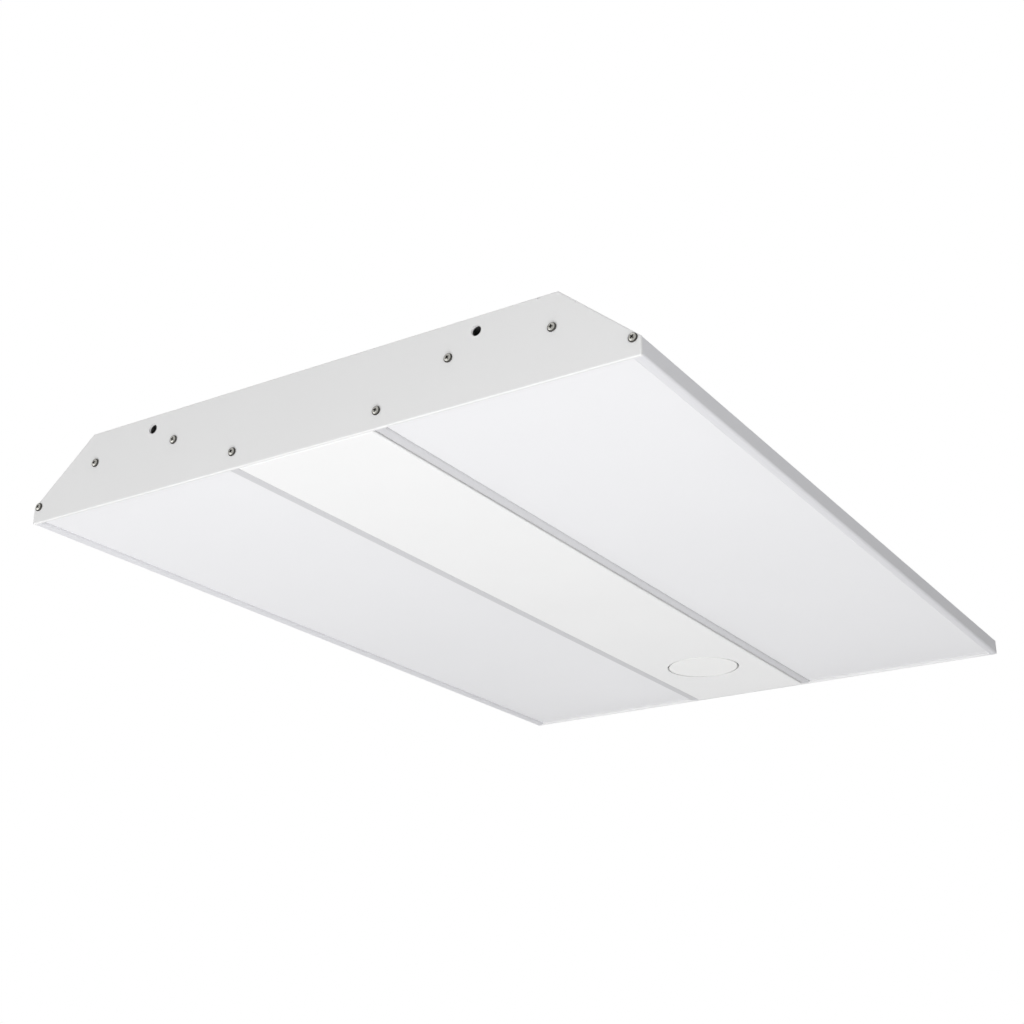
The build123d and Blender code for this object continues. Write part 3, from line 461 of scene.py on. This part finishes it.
# %% Knock-outs
bm = bmesh.new()
for y in (-278.0, 278.0):
    disc = bmesh.ops.create_circle(bm, cap_ends=True, segments=72, radius=10.88 * MM)["verts"]
    grown = bmesh.ops.extrude_face_region(bm, geom=list({face for vert in disc for face in vert.link_faces}))
    raised = [item for item in grown["geom"] if isinstance(item, bmesh.types.BMVert)]
    bmesh.ops.translate(bm, verts=raised, vec=(0, 0, 0.94 * MM))
    bmesh.ops.translate(bm, verts=disc + raised, vec=at(0.0, y, 49.01))
    for side in (-1, 1):
        tab = bmesh.ops.create_cube(bm, size=1.0)["verts"]
        bmesh.ops.scale(bm, verts=tab, vec=(0.6 * MM, 2.6 * MM, 0.7 * MM))
        bmesh.ops.translate(bm, verts=tab, vec=at(side * 10.8, y, 49.5))
bmesh.ops.recalc_face_normals(bm, faces=bm.faces)
rims = [edge for edge in bm.edges if edge.calc_face_angle(0.0) > math.radians(60) and len(edge.link_faces) == 2]
bmesh.ops.bevel(bm, geom=rims, offset=0.16 * MM, offset_type="OFFSET", affect="EDGES", segments=2, profile=0.5,
                material=-1, clamp_overlap=True)
knockout_mesh = bpy.data.meshes.new("knock_out_blanks")
bm.to_mesh(knockout_mesh)
bm.free()
knockout_mesh.materials.append(satin_enamel)
knockouts = bpy.data.objects.new("knock_out_blanks", knockout_mesh)
bpy.context.scene.collection.objects.link(knockouts)
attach(knockouts, "housing")
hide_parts("roof_knockouts")
print("knock-outs:", len(knockout_mesh.polygons), "faces")

# %% [markdown]
# ## The LED packages
# Each board carries twenty packages: a white frame of ceramic-filled plastic round a window of
# yellow phosphor, slightly sunk. There are 160 of them behind the diffusers, so one package has only
# a few faces: a block, its lower face inset for the frame and pushed in for the window.

# %% LED packages
led_frame = plain_finish("led_frame_plastic", ("F3F2EE", "ECEBE6"), 2, (0.35, 0.45), 0.4, 0.006)
bm = bmesh.new()
bmesh.ops.create_cube(bm, size=1.0)
bmesh.ops.scale(bm, verts=bm.verts, vec=(2.8 * MM, 3.5 * MM, 0.7 * MM))
window = [min(bm.faces, key=lambda face: face.calc_center_median().z)]
bmesh.ops.inset_region(bm, faces=window, thickness=0.35 * MM)
bmesh.ops.inset_region(bm, faces=window, thickness=0.1 * MM, depth=-0.14 * MM)
window[0].material_index = 1
upright = [edge for edge in bm.edges if abs(edge.verts[0].co.z - edge.verts[1].co.z) > 0.5 * MM]
bmesh.ops.bevel(bm, geom=upright, offset=0.12 * MM, affect="EDGES", segments=1, profile=0.5, material=-1)
package_mesh = bpy.data.meshes.new("led_package")
bm.to_mesh(package_mesh)
bm.free()
package_mesh.materials.append(led_frame)
package_mesh.materials.append(finishes["led_phosphor"])
for side, sign in (("left", -1), ("right", 1)):
    spots = [(sign * 129.5 + row * 19.0 + 5.0, end * 145.5 + (step - 9.5) * 14.25)
             for row in (-1, 1) for end in (-1, 1) for step in range(20)]
    packages = place_copies(f"phosphor_packages_{side}", package_mesh,
                            [Matrix.Translation(at(x, y, 22.05)) for x, y in spots])
    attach(packages, "housing")
    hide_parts(f"led_packages_{side}")
    print(packages.name, len(spots), "packages")

# %% [markdown]
# ## The terminal block
# The mains leads end in a three-pole block of cream polyamide, moulded in one shot, so its corners
# are round and every hole has a funnel that guides the wire or the screwdriver. Ribs of air between
# the poles keep them apart. A block and two ears are bevelled, and the holes, funnels and slots are
# cut out of them in one go with a Boolean, whose result is baked into a plain mesh.

# %% Terminal block body
BLOCK_Y = -244.0
BLOCK_BOTTOM = 31.0


def add_block(bm, middle, size, bevel=0.0, segments=3):
    """A box in mm, moved to its place, with its edges rounded."""
    box = bmesh.ops.create_cube(bm, size=1.0)["verts"]
    bmesh.ops.scale(bm, verts=box, vec=Vector(size) * MM)
    bmesh.ops.translate(bm, verts=box, vec=middle)
    if bevel:
        edges = list({edge for vert in box for edge in vert.link_edges})
        bmesh.ops.bevel(bm, geom=edges, offset=bevel * MM, affect="EDGES", segments=segments, profile=0.5, material=-1)


def add_cone(bm, mouth, axis, radii, depth):
    """A closed cone from its mouth inwards along the axis, with the radii at the mouth and at the floor."""
    turn = Vector((0, 0, 1)).rotation_difference(Vector(axis)).to_matrix().to_4x4()
    place = Matrix.Translation(mouth + Vector(axis) * depth / 2 * MM) @ turn
    bmesh.ops.create_cone(bm, cap_ends=True, segments=28, radius1=radii[0] * MM, radius2=radii[1] * MM,
                          depth=depth * MM, matrix=place)


bm = bmesh.new()
add_block(bm, at(0.0, BLOCK_Y, BLOCK_BOTTOM + 9.0), (40.0, 24.0, 17.98), 1.0)
for side in (-1, 1):
    add_block(bm, at(side * 22.5, BLOCK_Y, 47.0), (13.0, 12.0, 3.98), 0.8)
body_mesh = bpy.data.meshes.new("block_body")
bm.to_mesh(body_mesh)
bm.free()

bm = bmesh.new()
for pole in (-12.0, 0.0, 12.0):
    for row in (-1, 1):
        well = at(pole, BLOCK_Y + row * 5.5, BLOCK_BOTTOM - 0.1)
        add_cone(bm, well, (0, 0, 1), (2.4, 2.4), 3.3)
        add_cone(bm, well, (0, 0, 1), (3.1, 2.35), 0.8)
        entry = at(pole, BLOCK_Y + row * 12.1, 37.0)
        add_cone(bm, entry, (0, -row, 0), (2.0, 2.0), 8.0)
        add_cone(bm, entry, (0, -row, 0), (3.0, 1.95), 1.6)
for gap in (-6.0, 6.0):
    add_block(bm, at(gap, BLOCK_Y, BLOCK_BOTTOM), (0.9, 30.0, 2.4))
    for row in (-1, 1):
        add_block(bm, at(gap, BLOCK_Y + row * 12.0, BLOCK_BOTTOM + 6.0), (0.9, 2.0, 14.0))
for side in (-1, 1):
    add_cone(bm, at(side * 24.5, BLOCK_Y, 44.5), (0, 0, 1), (2.2, 2.2), 6.0)
holes_mesh = bpy.data.meshes.new("block_holes")
bm.to_mesh(holes_mesh)
bm.free()
print("block body:", len(body_mesh.polygons), "faces; cutters:", len(holes_mesh.polygons))

# %% [markdown]
# ## Cutting the block
# Twelve holes with funnels, two slots and two ear holes leave the block in one cut, with the helper
# that cut the recess of the screws. Modelled by hand, each funnel would need its own ring of faces
# knit into the wall.

# %% Cut the terminal block
block_mesh = cut_mesh("moulded_terminal_block", body_mesh, holes_mesh, [finishes["terminal_plastic"]])
terminal = bpy.data.objects.new("moulded_terminal_block", block_mesh)
bpy.context.scene.collection.objects.link(terminal)
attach(terminal, "housing")
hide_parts("terminal_block")
print("terminal block:", len(block_mesh.polygons), "faces")

# %% [markdown]
# ## Clamp screws of the terminal block
# The cheese heads are brass, turned on a lathe, with one slot across. Each was left at its own angle.

# %% Clamp screws
clamp_profile = [(0.0, 0.0), (1.75, 0.0), (1.98, 0.08), (2.1, 0.28), (2.1, 1.95), (0.0, 1.95)]
bm = bmesh.new()
add_block(bm, Vector((0, 0, 0)), (5.0, 0.75, 1.4))
slot_mesh = bpy.data.meshes.new("slot_cutter")
bm.to_mesh(slot_mesh)
bm.free()
clamp_mesh = cut_mesh("clamp_screw", spin_profile("clamp_blank", clamp_profile), slot_mesh,
                      [finishes["terminal_brass"]])
clamps = []
for number, pole in enumerate((-12.0, 0.0, 12.0)):
    for row in (-1, 1):
        turn = Matrix.Rotation(math.radians(20 + 53 * number * row), 4, "Z")
        clamps.append(Matrix.Translation(at(pole, BLOCK_Y + row * 5.5, BLOCK_BOTTOM + 1.2)) @ turn)
clamp_screws = place_copies("clamp_screws", clamp_mesh, clamps)
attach(clamp_screws, "housing")
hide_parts("terminal_screws")
print("clamp screws:", len(clamps))

# %% [markdown]
# ## The studio
# The photo was taken against pure white, with the light of big soft boxes from the front and from
# below. The floor lies well under the camera, because the camera looks up. Camera and mirror rays
# see white, and the diffuse light of the room is set apart from it.

# %% Studio
FLOOR_Z = -1.62
ROOM_LIGHT = 0.25
PAPER_LIFT = 0.5


def background_rays(tree):
    """A socket that is 1 for rays from the camera, and for those that mirrors and glass send on."""
    rays = add_node(tree, "ShaderNodeLightPath")
    seen = add_node(tree, "ShaderNodeMath", {"operation": "MAXIMUM"}, n0=rays.outputs["Is Camera Ray"],
                    n1=rays.outputs["Is Glossy Ray"])
    seen = add_node(tree, "ShaderNodeMath", {"operation": "MAXIMUM"}, n0=seen.outputs[0],
                    n1=rays.outputs["Is Transmission Ray"])
    return seen.outputs[0]


world = bpy.data.worlds.new("studio")
bpy.context.scene.world = world
world.use_nodes = True
sky = world.node_tree
strength = add_node(sky, "ShaderNodeMapRange", None, Value=background_rays(sky), To_Min=ROOM_LIGHT, To_Max=1.0)
sky.nodes["Background"].inputs["Color"].default_value = (1.0, 1.0, 1.0, 1.0)
sky.links.new(strength.outputs["Result"], sky.nodes["Background"].inputs["Strength"])

bm = bmesh.new()
bmesh.ops.create_grid(bm, x_segments=1, y_segments=1, size=200.0,
                      matrix=Matrix.Translation((0, 0, FLOOR_Z)))
floor_mesh = bpy.data.meshes.new("studio_floor")
bm.to_mesh(floor_mesh)
bm.free()
floor = bpy.data.objects.new("studio_floor", floor_mesh)
bpy.context.scene.collection.objects.link(floor)

paper, tree, shader, place = new_material("studio_paper", Base_Color=linear("F4F4F4"), Roughness=0.9)
shader.inputs["Emission Color"].default_value = (1.0, 1.0, 1.0, 1.0)
lift = add_node(tree, "ShaderNodeMath", {"operation": "MULTIPLY"}, n0=background_rays(tree), n1=PAPER_LIFT)
tree.links.new(lift.outputs[0], shader.inputs["Emission Strength"])
floor_mesh.materials.append(paper)
print("the floor lies", round(-FLOOR_Z * 1000 - HEIGHT), "mm under the open face")


# %% [markdown]
# ## Soft boxes
# Five square lamps stand in for the soft boxes. The key lies below the near end, so the open face
# fades a little towards the far end, as in the photo. Two at the sides separate the plate and the
# side wall from it, and a wide one on the ceiling and one at the back keep the top and the far plate
# readable. Each lamp is turned to face its target, and none is seen by the camera itself.

# %% Lamps
def soft_box(name, place, target, size, watts):
    """A square lamp at a place, facing a target."""
    lamp = bpy.data.lights.new(name, "AREA")
    lamp.size = size
    lamp.energy = watts
    holder = bpy.data.objects.new(name, lamp)
    bpy.context.scene.collection.objects.link(holder)
    holder.location = place
    holder.rotation_euler = (Vector(target) - Vector(place)).to_track_quat("-Z", "Y").to_euler()
    holder.visible_camera = False
    return holder


soft_box("key_from_below", (0.2, -1.0, -1.3), (0.0, -0.1, -0.05), 1.0, 12.9)
soft_box("front_left", (-1.5, -1.7, -0.4), (0.0, -0.3, -0.03), 1.2, 13.4)
soft_box("side_right", (1.3, -1.1, -0.2), (0.1, -0.2, -0.03), 0.8, 6.7)
soft_box("ceiling", (0.0, 0.2, 2.2), (0.0, 0.0, 0.0), 2.4, 30.0)
soft_box("back", (-0.7, 2.2, 0.3), (0.0, 0.2, -0.03), 1.2, 15.0)

# %% [markdown]
# ## The camera
# The camera stands low in front of the near end, to the right, and looks up by 22 degrees. Its
# place, its turn and its lens were solved from the straight edges and the corners in the photo, and
# the rows below are its right, down and forward directions.

# %% Camera
camera_data = bpy.data.cameras.new("camera")
camera_data.sensor_width = 36.0
camera_data.lens = 55.9
camera_data.clip_start = 0.01
right = Vector((0.8501, 0.5266, -0.0067))
down = Vector((-0.2000, 0.3110, -0.9291))
forward = Vector((-0.4872, 0.7912, 0.3697))
camera = bpy.data.objects.new("camera", camera_data)
bpy.context.scene.collection.objects.link(camera)
turn = Matrix((right, -down, -forward)).transposed()
camera.matrix_world = Matrix.Translation(at(521.7, -930.0, -358.7)) @ turn.to_4x4()
bpy.context.scene.camera = camera
bpy.context.scene.view_settings.view_transform = "Standard"
print("camera looks up by", round(math.degrees(math.asin(forward.z)), 1), "degrees")
